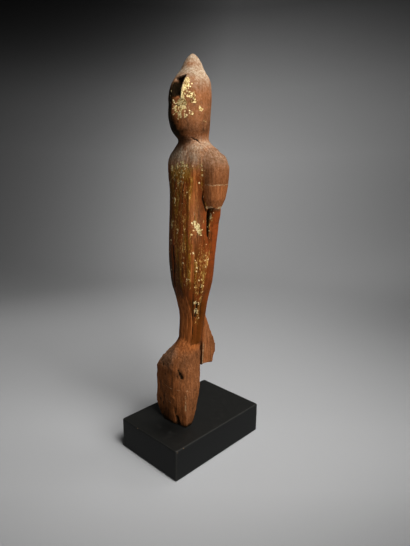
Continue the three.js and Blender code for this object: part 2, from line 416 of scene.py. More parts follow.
def makeWood(look):
    material, tree = newMaterial("carved_wood")
    shades = useGroup(tree, grainGroup)
    streaks = ranged(tree, shades["Streaks"], 0.32, 0.7)
    mottle = ranged(tree, shades["Mottle"], 0.36, 0.64)
    cloud = ranged(tree, shades["Clouds"], 0.35, 0.68)
    wear = useGroup(tree, wearGroup)
    scuffs, grit = wear["Scuffs"], wear["Dust"]
    hewn = mask(tree, "hewn")
    coats = {}
    for name, (size, stretch, softness) in look["flecks"].items():
        settings = {"size": size, "uprightStretch": stretch, "softness": softness}
        coats[name] = useGroup(tree, fleckGroup, amount=mask(tree, name), **settings)["Mask"]

    def coated(name, under, tone):
        share = math2(tree, "MULTIPLY", coats[name], look["cover"][name])
        return mixColours(tree, share, under, tone)

    # bare wood: long grain on the figure, short and mottled where it is hewn
    mottled = weighted(tree, 0.0, (scuffs, 0.5), (cloud, 0.6), clamp=True)
    grain = weighted(tree, streaks, (hewn, math2(tree, "SUBTRACT", mottled, streaks)))
    shown = mixColours(tree, grain, look["bareDark"], look["bareLight"])
    # lacquer, browner where it is old and thick
    age = weighted(tree, mask(tree, "brown"), (cloud, 0.35), clamp=True)
    age = weighted(tree, age, (grain, -0.2), clamp=True)
    shown = coated("lacquer", shown, mixColours(tree, age, look["lacquerRed"], look["lacquerBrown"]))
    # worn gilding: a thin olive wash left along the grain
    shown = coated("gilt", shown, look["gilt"])
    # old dust, with painted light on the sides towards the key lamp, and pale rubbed places
    uneven = weighted(tree, 0.7, (cloud, 0.25), (mottle, 0.1), (streaks, 0.3))
    dustAndLitShare = math2(tree, "MULTIPLY", mask(tree, "dust"), uneven)
    dustAndLitShare = math2(tree, "MULTIPLY", dustAndLitShare, weighted(tree, 0.88, (grit, 0.2)), clamp=True)
    shown = mixColours(tree, dustAndLitShare, shown, mixColours(tree, mottle, look["dustShade"], look["dust"]))
    shown = coated("pale", shown, look["pale"])
    # what is left of the gold leaf: specks along the grain, and torn pieces
    shown = coated("specks", shown, look["speck"])
    crumple = ranged(tree, shades["Mottle"], 0.42, 0.6)
    crumple = math2(tree, "ADD", crumple, mask(tree, "pale"), clamp=True)
    shown = coated("leaf", shown, mixColours(tree, crumple, look["leafDark"], look["leafLight"]))
    # dirt and painted shade in the hollows, and dirt in the open checks
    check = math2(tree, "ABSOLUTE", math2(tree, "SUBTRACT", shades["Streaks"], 0.5))
    check = ranged(tree, check, 0.0, 0.008, 1.0, 0.0)
    check = math2(tree, "MULTIPLY", check, ranged(tree, shades["Clouds"], 0.5, 0.62))
    check = math2(tree, "MULTIPLY", check, math2(tree, "SUBTRACT", 1.0, hewn))
    # this mix paints both dirt and shade
    grimeAndShade = weighted(tree, 0.09, (mask(tree, "dirt"), 1.0), (mottle, -0.14), (check, 0.28), clamp=True)
    shown = mixColours(tree, grimeAndShade, shown, look["dirt"])
    # gloss and fine relief
    lacquer, leaf = coats["lacquer"], coats["leaf"]
    rough = weighted(tree, 0.82, (lacquer, -0.26), (leaf, -0.25), (dustAndLitShare, 0.2), clamp=True)
    height = weighted(tree, 0.0, (shades["Pores"], 0.5), (grain, 0.35), (lacquer, 0.3), (leaf, 0.3))
    height = weighted(tree, height, (check, -0.6), (scuffs, -0.12), (mottle, 0.15))
    bump = addNode(tree, "ShaderNodeBump", {"Height": height, "Strength": 0.75, "Distance": 0.001})
    finishMaterial(
        tree,
        {
            "Base Color": shown,
            "Roughness": rough,
            "Metallic": math2(tree, "MULTIPLY", leaf, 0.5),
            "Normal": bump.outputs[0],
            "Specular IOR Level": 0.3,
            "Specular Tint": (1.0, 0.72, 0.42, 1),
        },
    )
    return material


# The seam between the foot and the piece of hem behind it.
hemSeam = [(4.4, 10.4, 142), (4.2, 10.6, 118), (3.6, 11.4, 101)]

# Cuts in the wood, in mm in the object's frame. Each is a line, its half width and its depth.
carvedLines = {
    "neckCrack": (
        [(11.4, -15.6, 383.8), (12.5, -12.1, 382.2), (14.4, -9.4, 381.3), (17.3, -7.6, 378.6)],
        0.55,
        1.6,
    ),
    "shoulderFissure": ([(19, -9.3, 376.1), (25, -11, 370.5), (32, -10.1, 365.7)], 0.4, 0.35),
    "upperFissure": ([(12, -14, 377.5), (20, -13, 373)], 0.4, 0.35),
    "redGroove": ([(-7.8, -25.4, 262), (-7, -24.6, 239), (-7.8, -22, 212)], 1.3, 1.0),
    "frontGroove": ([(6, -24, 300), (7.5, -24, 262), (7, -21, 222), (7, -18, 200)], 0.8, 0.5),
    "sideGroove": ([(24.5, -13.5, 300), (26.5, -11, 270), (25, -11, 235), (19, -9, 195)], 0.8, 0.3),
    "stripGroove": ([(28, -3.7, 262), (27.5, -4, 250), (25.5, -4.5, 235), (19.5, -4.5, 195)], 0.7, 0.35),
    "legLine": ([(16, -15.7, 207), (13.8, -13.4, 192), (11.7, -12, 178.5), (11.3, -11.5, 145)], 0.6, 0.8),
    "legGouge": ([(16.5, -9.6, 192.5), (15.4, -9.2, 185), (13.4, -9.7, 176.5)], 1.3, 1.3),
    "armSeam": ([(25.4, -10.6, 326), (24.6, -10.6, 318), (27, -6.7, 304.5)], 0.8, 1.0),
    "armEdge": ([(29, -12.5, 332.6), (39, -8, 333), (44, 4, 332.8), (40, 16, 333)], 0.5, 0.25),
    "toeGouge": ([(10.7, -34.5, 112), (11.5, -33.5, 108), (13.7, -31.8, 103)], 2.0, 1.2),
    "toeNick": ([(9, -35.6, 104), (10.4, -35.4, 102)], 1.2, 0.3),
    "footNotch": ([(10, -37.6, 50), (11.5, -37, 44), (13, -36.6, 40)], 2.6, 1.6),
    "hemSeam": (hemSeam, 1.2, 0.9),
    "backCrack": ([(-6, 19, 350), (-4, 16, 310), (-6, 17, 250), (-4, 16, 205)], 0.8, 1.6),
    "rightCrack": ([(-24, -9, 300), (-26, -6, 250), (-22, -6, 205)], 0.7, 1.1),
}

# The worn closed lids and lips, as lines in x and z on the front of the head, the same on both sides.
faceLines = [
    ([(3.4, 417.4), (6.4, 415.6), (10, 415.8), (12.6, 417.6)], 0.7, 0.3),
    ([(3, 420.6), (7, 422.4), (11, 421.8), (13.6, 419.6)], 0.7, 0.3),
    ([(0, 399.2), (3, 399.8), (5.4, 399.6)], 0.6, 0.5),
]

# The shallow valley that runs down the front of the stump.
stumpValley = [(10, -36, 104), (8, -37.5, 82), (8, -37.8, 58), (10.5, -38, 42)]


def woodRelief(points):
    # how far each point moves out along its normal, in mm, and how dark its cut is painted, with dirt and
    # shade
    x, y, z = points.T
    body = softStep(385, 360, z) * softStep(118, 150, z)
    folds = body * (1 - 0.8 * softStep(26, 30, x) * softStep(303, 306, z))
    stump = softStep(128, 112, z)
    elbow = hump(z, 306, 4) * softStep(26, 28, x)
    chopped = softStep(106, 116, z) * softStep(136, 128, z) * softStep(-12, -22, y) * softStep(6, -2, x)
    # lumps of noise: their length along each axis, seed, octaves, height and where they are
    lumps = [
        ((16, 16, 45), 3, 2, 0.45, 1),
        ((4.5, 4.5, 60), 5, 2, 0.6, folds),
        ((2.2, 2.2, 30), 6, 2, 0.36, folds),
        ((3, 3, 5), 7, 2, 0.14, 1),
        ((9, 9, 12), 8, 3, 0.8, stump),
        ((2.6, 2.6, 6), 9, 2, 0.22, stump),
        ((4.2, 4.2, 3), 10, 2, 0.9, chopped),
        ((3, 3, 3), 13, 2, 0.9, elbow),
    ]
    rise = np.zeros(len(points))
    for size, seed, octaves, height, where in lumps:
        rise += height * noiseAt(points, size, seed, octaves) * where
    rise -= 1.1 * np.abs(noiseAt(points, (7, 7, 16), 12)) * stump
    rise -= 0.9 * hump(nearPath(points, stumpValley), 0, 5) * stump
    cuts = np.zeros(len(points))
    wander = 0.8 + 0.35 * noiseAt(points, (3, 3, 4), 11)
    for path, halfWidth, depth in carvedLines.values():
        share = softStep(halfWidth * 1.9, halfWidth * 0.35, nearPath(points, path) / wander)
        rise -= depth * share
        cuts = np.maximum(cuts, share * min(1.0, 0.25 + 0.4 * depth) * min(1.0, 1.4 / halfWidth))
    flat = np.stack([np.abs(x), z], 1)
    front = softStep(-10, -16, y)
    for path, halfWidth, depth in faceLines:
        share = softStep(halfWidth * 2.2, 0, nearPath(flat, path)) * front
        rise -= depth * share
        cuts = np.maximum(cuts, 0.12 * share)
    return rise, cuts


def foreheadHollow(points):
    # the split in the forehead: wide and undercut at the hairline, sharp along its left ridge
    x, y, z = points.T
    down = (446 - z) / 23
    low = -5.5 + 13.0 * down
    high = 8.0 + 1.2 * down
    inside = softStep(low - 1.5, low + 2.5, x) * softStep(high + 0.3, high - 1.4, x)
    inside *= softStep(446.5, 444.5, z - 0.25 * x) * softStep(422, 428, z)
    return inside * softStep(-14, -18, y)


def patches(points, rows, noise):
    # the strongest of some flat-topped soft blobs, each with a place, a size and an amount
    best = np.zeros(len(points))
    for middle, size, amount in rows:
        best = np.maximum(best, amount * np.minimum(1, 1.6 * blob(points, middle, size)))
    return best * (0.84 + 0.42 * noise)


# Torn leaf still on the wood: middle, size and amount of each patch.
leafPatches = [
    ((10.8, -22, 441), (3.4, 7, 5.6), 0.95),
    ((11.8, -25, 433), (5, 7, 8), 0.78),
    ((9.8, -28, 426), (3.2, 6, 7), 1),
    ((10.5, -27, 418), (5.5, 8, 7), 0.95),
    ((6.5, -30, 413), (5.5, 7, 6), 0.88),
    ((13, -25, 406), (2, 6, 3), 0.75),
    ((16.5, -22, 427), (4, 6, 5), 0.78),
    ((19.5, -19, 421.5), (3.4, 6, 3.4), 0.66),
    ((14.6, -25, 412), (3.6, 6, 3.4), 0.66),
    ((7.5, -29, 406), (4, 6, 3.6), 0.7),
    ((1, -32, 419), (4, 5, 6), 0.62),
    ((-3.7, -31, 427), (3.6, 6, 6), 0.62),
    ((-4.5, -28, 437), (3, 6, 4), 0.55),
    ((27.5, -13, 353), (3, 4, 6), 0.55),
    ((17.6, -21.7, 408.6), (2.4, 4, 2.4), 0.75),
    ((21.5, -11, 413), (2.4, 4, 2.6), 0.75),
    ((21.5, -4.4, 400.2), (2.4, 3, 3), 0.72),
    ((20.4, -18.4, 291), (2.6, 3, 3), 0.9),
    ((21.9, -15.6, 287), (2.8, 4, 4.4), 1),
    ((23.4, -13, 281.5), (2, 3, 4.2), 0.9),
    ((24.6, -10.6, 293), (2, 3, 6), 0.5),
    ((25.6, 1.6, 296), (1.6, 2, 9), 0.75),
    ((27, 0, 281), (1.6, 2, 5), 0.6),
    ((-14, -21, 350.6), (3.6, 4, 4), 0.72),
    ((-5, -22, 352), (5, 4, 5), 0.66),
    ((3, -22, 355), (4, 4, 5), 0.74),
    ((3, -22, 345), (6, 4, 5), 0.62),
    ((-4, -22.9, 341), (5, 4, 6), 0.6),
    ((9, -21.5, 355), (3.4, 4, 4), 0.74),
    ((17, -18.5, 352), (3, 4, 6), 0.5),
    ((-4.3, -25.1, 315.6), (1.8, 3, 2.4), 0.85),
    ((-9, -25.7, 286.6), (1.8, 3, 5), 0.62),
    ((2, -26.5, 282.2), (1.8, 3, 2.2), 0.75),
    ((9, -25.2, 259.8), (2, 3, 2.2), 0.75),
    ((-11, -24, 266), (2, 3, 5), 0.6),
    ((11.4, -22.8, 224.2), (1.8, 3, 2.6), 0.7),
    ((16.2, -12.5, 194.9), (2.2, 4, 2.2), 0.9),
    ((15, -9.4, 184), (2, 4, 3.4), 0.85),
]


# Lines that show as colour and not as depth: each has its path, width and strength.
colourLines = {
    "bareStreak": [
        ([(19.6, -19.8, 346), (20.4, -18, 328), (19, -20, 312)], 4.5, 1.0),
        ([(19, -20, 308), (19, -19.5, 250), (16.4, -20.5, 224)], 3.0, 0.5),
    ],
    "redLine": [([(-7.8, -25.4, 268), (-7, -24.6, 239), (-7.8, -22, 205)], 2.6, 1.0)],
    "redEdge": [([(19, -21, 310), (19, -21, 260), (14.5, -17, 200)], 1.8, 1.0)],
    "fringe": [
        ([(9, -22.5, 353), (16, -20, 350), (22, -16, 352), (27, -13.5, 356)], 3.4, 1.0),
        ([(26, -14, 354), (25.4, -11.5, 341), (24.5, -12, 332)], 2.6, 0.8),
    ],
    # rubbed gold along the split's ridge, with a painted highlight on it
    "rubbedGlintRidge": [([(8.5, -24, 440), (8.7, -26.6, 436.5), (9.2, -29.3, 424.4)], 1.1, 1.3)],
    "scratches": [
        ([(-15.3, -37, 87.8), (5.5, -37.5, 86.2), (18.5, -32, 87.5), (21.7, -27, 86.8)], 0.8, 0.75),
        ([(-10.6, -37.3, 69.7), (2, -37.6, 66.2), (9.3, -37.3, 69.9)], 0.7, 0.75),
        ([(19.6, -31.8, 81), (21, -32.4, 73), (21.8, -33, 62)], 1.1, 0.75),
        ([(7.6, 12.2, 134), (7, 12, 120), (6, 12, 104)], 1.0, 0.75),
    ],
    "armShadow": [([(24.6, -12, 338), (23.3, -13, 328), (25, -10, 308)], 3.4, 0.3)],
    "hemShadow": [(hemSeam, 2.0, 0.5)],
}


def drawn(points, name, join=sum):
    # how strongly a group of coloured lines shows at each point
    lines = colourLines[name]
    return join([strength * hump(nearPath(points, path), 0, width) for path, width, strength in lines])


def partsOf(points, facing, split):
    # soft masks of the figure's parts, and the noises that several of the masks below share
    x, y, z = points.T
    part = SimpleNamespace(points=points, facing=facing)
    part.soft = noiseAt(points, (9, 9, 16), 21)
    part.fine = noiseAt(points, (3, 3, 9), 22)
    part.columns = noiseAt(points, (4, 4, 90), 24)
    part.side = softStep(0.1, 0.75, facing[:, 0])
    part.front = softStep(0.2, 0.8, -facing[:, 1])
    part.head = softStep(384, 392, z)
    part.robe = softStep(356, 340, z + 4 * part.soft) * softStep(134, 141, z)
    arm = softStep(27.5, 29.5, x) * softStep(303, 306, z) * softStep(380, 370, z)
    part.arm = arm
    part.lowerArm = arm * softStep(334, 332.5, z + 0.5 * part.fine)
    part.upperArm = arm * (1 - part.lowerArm)
    behind = softStep(8, 14, y)
    part.stump = softStep(140, 126, z + 3 * part.soft) * (1 - behind)
    part.fragment = behind * softStep(175, 152, z)
    legs = np.maximum(softStep(12.5, 9.5, x + 0.5 * part.soft), softStep(142, 138.5, z))
    part.bareLegs = softStep(207, 190, z) * legs
    # the split in the forehead: its mouth and, behind it, a lens-shaped hole
    lens = np.sqrt((((points - (2.2, -28.4, 436)) / (5.2, 6.9, 10.8)) ** 2).sum(1))
    leftWall = softStep(-3.5, -1.0, x - 0.3 * (446 - z) * softStep(442, 434, z))
    # inside the split: dust and leaf are taken off here, and shade is painted here
    part.inHollow = np.maximum(split, softStep(1.3, 1.12, lens)) * (0.55 + 0.45 * leftWall)
    # painted shade under the jaw, where dust is taken off too
    part.underJaw = hump(z, 383, 9) * softStep(13, 2, x) * softStep(2, -6, y)
    # the rubbed patch in front of the arm's gap, and the elbow's broken rim
    part.rubbed = blob(points, (21, -17, 292), (6, 8, 26))
    rim = hump(z, 308.5 + part.fine, 1.3) * softStep(25.5, 27.5, x) * softStep(14, 10, y)
    part.rim = rim * spots(points, -0.6, -0.2, (3.5, 3.5, 3.5), 30)
    part.across = 0.72 * x + 0.69 * y  # to the right in the camera's view
    part.nearRed = drawn(points, "redLine")
    return part


def dustAndLitSideMask(part):
    # dust, thick on the crown, thin on the shoulders, the arms and the top of the base; and paler sides
    # towards the key lamp as painted light
    x, y, z = part.points.T
    head, side, soft = part.head, part.side, part.soft
    dust = 0.62 * softStep(433, 450, z + 5 * soft + 2 * part.fine) + 0.35 * softStep(444, 456, z + 4 * soft)
    dust *= 1 - 0.75 * blob(part.points, (6, -11, 459.5), (9, 9, 4))
    # paler on the head, most on the sides towards the key lamp: dust, and painted light
    dust += 0.2 * head * softStep(405, 440, z) * (0.3 + 0.7 * side) * (1 + 0.5 * soft)
    dust += 0.17 * head * side * softStep(430, 410, z) + 0.25 * head * side * softStep(8, 18, y)
    shoulders = (1 - head) * (1 - 0.45 * softStep(22, 30, x)) * (1 + 0.3 * part.fine)
    upward = softStep(0.15, 0.75, part.facing[:, 2])
    dust += shoulders * (0.6 * hump(z, 375, 11) + 0.44 * hump(z, 361, 9) + 0.06 * upward)
    dust += 0.22 * softStep(10, -4, x) * hump(z, 369, 13)
    dust += 0.11 * part.upperArm + 0.08 * part.lowerArm + 0.12 * part.rubbed
    dust += 0.25 * softStep(106, 118, z) * softStep(140, 130, z) * softStep(-12, -22, y) * softStep(4, -6, x)
    # a little dust on the stump, more on its side towards the key lamp as painted light, and on the hem piece
    dust += (0.03 + 0.08 * side) * part.stump + 0.1 * part.fragment
    # none in the split, and little under the jaw where shade is painted
    return dust * (1 - part.inHollow) * (1 - 0.95 * part.underJaw)


def lacquerMask(part):
    # on the robe, the face's right, the elbow and the front of the stump, worn off in streaks
    x, z = part.points.T[[0, 2]]
    left = (1 - part.arm) * (1 - 0.4 * part.rubbed) * (1 - 0.9 * part.bareLegs) * (1 - part.fragment)
    robe = 0.95 * part.robe * left * (1 - 0.9 * drawn(part.points, "bareStreak"))
    face = 0.85 * softStep(2, -7, x + 5 * part.soft) * softStep(385, 400, z) * softStep(440, 426, z)
    return np.maximum.reduce([robe, face, 0.3 * part.lowerArm, 0.42 * part.stump * part.front])


def brownMask(part):
    # how far the lacquer has gone from red to brown
    x, y, z = part.points.T
    brown = 0.4 + 0.15 * part.front + 0.45 * part.columns + 0.25 * softStep(385, 400, z)
    brown += 0.3 * softStep(330, 300, z) * hump(x, 22, 5) * softStep(-6, -14, y)
    brown += 0.45 * softStep(205, 185, z) - 0.8 * part.nearRed
    brown -= 0.35 * softStep(26, 28, x) * softStep(310, 300, z)
    brown -= 0.4 * drawn(part.points, "redEdge")
    return brown - 0.5 * part.side * spots(part.points, 0.0, 0.5, (2.6, 2.6, 16), 36) * softStep(215, 235, z)


def goldMasks(part):
    # a wash along the grain, torn leaf, and specks
    x, y, z = part.points.T
    tufts = noiseAt(part.points, (5, 5, 12), 25)
    streaky = noiseAt(part.points, (3.5, 3.5, 30), 26)
    front = part.robe * part.front * softStep(196, 225, z)
    chest = hump(z, 347, 13) * softStep(-20, -14, x) * softStep(22, 14, x) * part.front
    face = softStep(4, -6, x) * softStep(392, 405, z) * softStep(438, 426, z) * softStep(-8, -18, y)
    fringe = drawn(part.points, "fringe", np.maximum.reduce)
    # the low side of the robe, between the front's edge and the strip behind
    edge = 14.7 + 0.15 * (z - 218)
    side = softStep(-0.2, 0.3, part.facing[:, 0]) * softStep(285, 250, z) * softStep(140, 175, z)
    side *= softStep(0.5, 3.5, part.across - 4 * softStep(242, 256, z))
    side *= softStep(edge + 1.5, edge - 1.5, part.across)
    frontWash = (0.6 + 0.45 * part.columns + 0.35 * streaky) * front
    gilt = np.maximum.reduce([frontWash, chest, face, (0.5 + 0.4 * part.columns) * side])
    gilt *= (1 - part.nearRed) * (1 - part.arm) * (1 - part.fragment)
    sideSpecks = (0.57 + 0.04 * softStep(225, 245, z) + 0.14 * tufts + 0.04 * part.columns) * side
    frontSpecks = (0.48 + 0.3 * tufts) * front * (1 - part.nearRed)
    specks = np.maximum.reduce([sideSpecks, frontSpecks, 0.55 * chest, 0.52 * fringe, 0.5 * face])
    return {
        "gilt": np.maximum(gilt, 0.9 * fringe),
        "leaf": patches(part.points, leafPatches, part.fine) * (1 - part.inHollow),
        "specks": specks * (1 - part.inHollow) * (1 - part.arm * (1 - fringe)),
    }


def paleMask(part, hollow):
    # rubbed edges and scratches, and a painted highlight on the split's ridge
    z = part.points[:, 2]
    pale = 0.08 + 0.14 * softStep(0.04, 0.2, -hollow)
    pale += part.arm * hump(z, 333.8 + 0.5 * part.fine, 0.6) + 1.3 * part.rim
    pale += 0.55 * part.rubbed * spots(part.points, 0.15, 0.5, (2.4, 2.4, 3.4), 31)
    return pale + drawn(part.points, "rubbedGlintRidge") + drawn(part.points, "scratches")


def headDirtAndShade(part):
    x, y, z = part.points.T
    # painted shade on the front of the face below the hairline, on the figure's right, away from the lamps
    dirt = 0.75 * softStep(7, -3, x) * softStep(-4, -14, y) * softStep(446, 434, z)
    dirt += 0.28 * spots(part.points, 0.1, 0.7, (6, 6, 7), 29) * softStep(446, 432, z)
    dirt += 0.22 * spots(part.points, 0.0, 0.5, (2.4, 2.4, 12), 35) * softStep(440, 425, z)
    # darker low on the head, towards the chin, as painted shade
    dirt += 0.2 * softStep(415, 392, z)
    # painted shade inside the split in the forehead and under the jaw
    return part.head * dirt + 0.92 * part.inHollow + 0.85 * part.underJaw


def bodyDirtAndShade(part, aged):
    points = part.points
    x, y, z = points.T
    dirt = 0.3 * part.rubbed * spots(points, 0.1, 0.6, (2.6, 2.6, 4), 32) + drawn(points, "armShadow")
    dirt += part.upperArm * (0.24 + 0.16 * spots(points, 0.0, 0.7, (2.6, 2.6, 30), 33))
    # painted shade low on the robe's front, towards the figure's right, away from the lamps
    lowLeft = softStep(12, -2, x) * softStep(-2, -12, y) * softStep(260, 235, z) * softStep(186, 206, z)
    dirt += 0.5 * part.robe * lowLeft * (1 - part.nearRed)
    dashes = softStep(18.6, 19.6, part.across) * spots(points, 0.15, 0.6, (9, 9, 1.5), 28)
    dirt += 0.35 * dashes * part.robe * (1 - part.arm) * (1 - part.fragment)
    streaks = 0.1 * softStep(0.0, 0.7, part.columns) + 0.15 * spots(points, 0.05, 0.8, (5, 5, 26), 27)
    # dirt streaks down the old front, and painted shade on its part towards the figure's right
    dirt += aged * (streaks + 0.27 * softStep(-4, -12, x))
    # painted shade inside the gap behind the arm
    lens = np.sqrt((((points - (24.1, -1.7, 300.6)) / (10.3, 3.2, 29.3)) ** 2).sum(1))
    dirt += 0.95 * softStep(1.3, 1.15, lens) * softStep(18.8, 17.6, part.across) * softStep(306, 304, z)
    return dirt + 0.1 * softStep(112, 120, z) * softStep(152, 146, z) * (1 - part.fragment)


def baseDirtAndShade(part):
    x, z = part.points.T[[0, 2]]
    dirt = 0.24 + 0.2 * part.side + 0.12 * softStep(90, 55, z)
    dirt = part.stump * (dirt + 0.14 * spots(part.points, 0.1, 0.6, (5, 5, 8), 34))
    # painted shadow where the stump stands on the block, and painted shade low on its front
    dirt += 0.6 * softStep(46, 40.5, z) + 0.3 * softStep(60, 42, z) * part.front * softStep(8, -8, x)
    # painted shade on the stump's front face, which the lamps barely reach
    dirt += 0.22 * part.front * softStep(128, 110, z) * softStep(8, -2, x) * (1 + 0.5 * part.soft)
    return dirt + part.fragment * (0.06 + 0.17 * softStep(9, 13, x)) + drawn(part.points, "hemShadow")


def dirtAndShadeMask(part, cuts, hollow):
    # dirt and painted shade in cuts and hollows, and painted shade where little light gets to; less of both
    # where wear gets to
    join = np.minimum(1, 1.8 * blob(part.points, (27, -13, 348), (10, 11, 26)))
    dirt = 0.8 * cuts + 0.6 * softStep(0.06, 0.3, hollow) * (1 - join)
    aged = part.front * part.robe * (1 - 0.8 * part.bareLegs)
    dirt += headDirtAndShade(part) + bodyDirtAndShade(part, aged) + baseDirtAndShade(part)
    dirt *= 1 - 0.95 * part.rim
    return dirt - 0.16 * part.bareLegs * (1 - part.fragment) - 0.16 * part.lowerArm - 0.06 * aged


def hewnMask(part):
    # short, mottled grain
    stump = part.stump * (0.25 + 0.4 * softStep(6, -2, part.points[:, 0]))
    arm = 0.5 * part.arm - 0.3 * part.lowerArm
    return np.maximum.reduce([stump, 0.9 * part.head, 0.1 * part.fragment, arm])


def woodMasks(points, facing, cuts, hollow, split):
    part = partsOf(points, facing, split)
    return {
        "dust": dustAndLitSideMask(part),
        "lacquer": lacquerMask(part),
        "brown": brownMask(part),
        **goldMasks(part),
        "pale": paleMask(part, hollow),
        "dirt": dirtAndShadeMask(part, cuts, hollow),
        "hewn": hewnMask(part),
    }


# Where the CAD solid's creases are filled: middle, size and strength.
filledCreases = {
    "shoulders": [
        ((27, -13, 348), (9, 10, 24), 1.6),
        ((-27, -9, 350), (7, 9, 30), 1.0),
        ((42, -2, 366), (9, 14, 9), 0.5),
        ((-42, -2, 366), (9, 14, 9), 0.5),
    ],
    "foot": [((20, -31, 108), (11, 11, 30), 1.0), ((8, -26, 124), (12, 12, 18), 1.0)],
}


def makeFigure(look):
    piece = fineCopy("carved_figure", "carvedFigure", look["voxel"])
    mesh = piece.data
    pairs = edgePairs(mesh)
    points = coordinates(mesh) / mm
    # the stump keeps more of its facets than the body
    strength = 0.35 + 0.65 * softStep(116, 134, points[:, 2])
    points = smoothed(points, pairs, look["smoothRounds"], strength)
    for name, rows in filledCreases.items():
        near = sum(amount * blob(points, middle, size) for middle, size, amount in rows)
        points = smoothed(points, pairs, look["fillRounds"][name], np.clip(1.6 * near, 0, 1), keep=0)
    setCoordinates(mesh, points * mm)
    facing = normals(mesh)
    split = foreheadHollow(points)
    rise, cuts = woodRelief(points)
    points = points + facing * rise[:, None]
    points[:, 1] += look["splitDepth"] * split
    corners = (np.array(corner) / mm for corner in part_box("carved_figure"))
    points = np.clip(points, *corners)
    setCoordinates(mesh, points * mm)
    facing = normals(mesh)
    hollow = hollowness(points, pairs, facing, 6)
    for name, values in woodMasks(points, facing, cuts, hollow, split).items():
        setMask(mesh, name, values)
    mesh.shade_smooth()
    mesh.materials.append(makeWood(look))
    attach(piece, "root")
    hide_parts("carved_figure")
    print("figure made:", len(mesh.vertices), "points", len(mesh.polygons), "faces")
    return piece


figure = makeFigure(figureLook)


# the gold leaf

leafLook = {
    "Density": 420000.0,  # flakes on a square metre of full leaf
    "Flake Size": 0.0026,
    "Thickness": 0.00022,
    "Seed": 11,
    "light": colour(255, 240, 194),
    "dark": colour(214, 176, 104),
}


def makeLeafMaterial(look):
    material, tree = newMaterial("gold_leaf")
    pores = useGroup(tree, grainGroup, poreSize=1500.0, uprightStretch=1.0)["Pores"]
    worn = ranged(tree, pores, 0.35, 0.65)
    tone = mixColours(tree, worn, look["dark"], look["light"])
    bump = addNode(tree, "ShaderNodeBump", {"Height": pores, "Strength": 0.6, "Distance": 0.0006})
    rough = math2(tree, "MULTIPLY_ADD", worn, -0.1, 0.48)
    finishMaterial(tree, {"Base Color": tone, "Roughness": rough, "Metallic": 0.3, "Normal": bump.outputs[0]})
    return material


def makeLeafTree():
    # crumpled flakes, most where the leaf attribute is strong, a few where there are only specks
    tree = bpy.data.node_groups.new("goldLeaf", "GeometryNodeTree")
    kinds = {
        "Geometry": "NodeSocketGeometry",
        "Density": "NodeSocketFloat",
        "Flake Size": "NodeSocketFloat",
        "Thickness": "NodeSocketFloat",
        "Seed": "NodeSocketInt",
        "Material": "NodeSocketMaterial",
    }
    for label, kind in kinds.items():
        tree.interface.new_socket(label, in_out="INPUT", socket_type=kind)
    tree.interface.new_socket("Geometry", in_out="OUTPUT", socket_type="NodeSocketGeometry")
    given = addNode(tree, "NodeGroupInput").outputs
    leaf, specks = (
        addNode(tree, "GeometryNodeInputNamedAttribute", {"Name": name}, data_type="FLOAT").outputs[0]
        for name in ("leaf", "specks")
    )
    thick = math2(tree, "POWER", leaf, 3.0)
    thin = math2(tree, "MULTIPLY", math2(tree, "POWER", specks, 3.0), 0.2)
    density = math2(tree, "MULTIPLY", math2(tree, "ADD", thick, thin), given["Density"])
    places = addNode(
        tree,
        "GeometryNodeDistributePointsOnFaces",
        {"Mesh": given["Geometry"], "Density": density, "Seed": given["Seed"]},
        distribute_method="RANDOM",
    ).outputs
    # one flake: a ball of 20 faces, bent by noise and then flattened
    ball = addNode(tree, "GeometryNodeMeshIcoSphere", {"Radius": 0.5, "Subdivisions": 1}).outputs[0]
    bend = addNode(tree, "ShaderNodeTexNoise", {"Scale": 1.7, "Detail": 1.0}).outputs["Color"]
    offset = addNode(
        tree,
        "ShaderNodeVectorMath",
        {0: bend, 1: (0.9, 0.9, 0.6), 2: (-0.45, -0.45, -0.3)},
        operation="MULTIPLY_ADD",
    ).outputs[0]
    bent = addNode(tree, "GeometryNodeSetPosition", {"Geometry": ball, "Offset": offset}).outputs[0]
    values = {0: given["Flake Size"], 1: given["Flake Size"], 2: given["Thickness"]}
    flat = addNode(tree, "ShaderNodeCombineXYZ", values).outputs[0]
    flake = addNode(tree, "GeometryNodeTransform", {"Geometry": bent, "Scale": flat}).outputs[0]
    # each lies on the wood, turned and stretched by chance
    spin = addNode(tree, "FunctionNodeRandomValue", data_type="FLOAT")
    spin.inputs[3].default_value = math.tau
    tree.links.new(given["Seed"], spin.inputs["Seed"])
    values = {"Axis": (0, 0, 1), "Angle": spin.outputs[1]}
    turned = addNode(tree, "FunctionNodeAxisAngleToRotation", values).outputs[0]
    values = {"Rotation": places["Rotation"], "Rotate By": turned}
    rotation = addNode(tree, "FunctionNodeRotateRotation", values, rotation_space="LOCAL").outputs[0]
    size = addNode(tree, "FunctionNodeRandomValue", data_type="FLOAT_VECTOR")
    size.inputs[0].default_value = (0.35, 0.3, 0.6)
    size.inputs[1].default_value = (1.2, 0.9, 1.8)
    tree.links.new(given["Seed"], size.inputs["Seed"])
    placed = addNode(
        tree,
        "GeometryNodeInstanceOnPoints",
        {"Points": places["Points"], "Instance": flake, "Rotation": rotation, "Scale": size.outputs[0]},
    ).outputs[0]
    real = addNode(tree, "GeometryNodeRealizeInstances", {"Geometry": placed}).outputs[0]
    values = {"Geometry": real, "Material": given["Material"]}
    finished = addNode(tree, "GeometryNodeSetMaterial", values).outputs[0]
    tree.links.new(finished, addNode(tree, "NodeGroupOutput").inputs[0])
    return tree


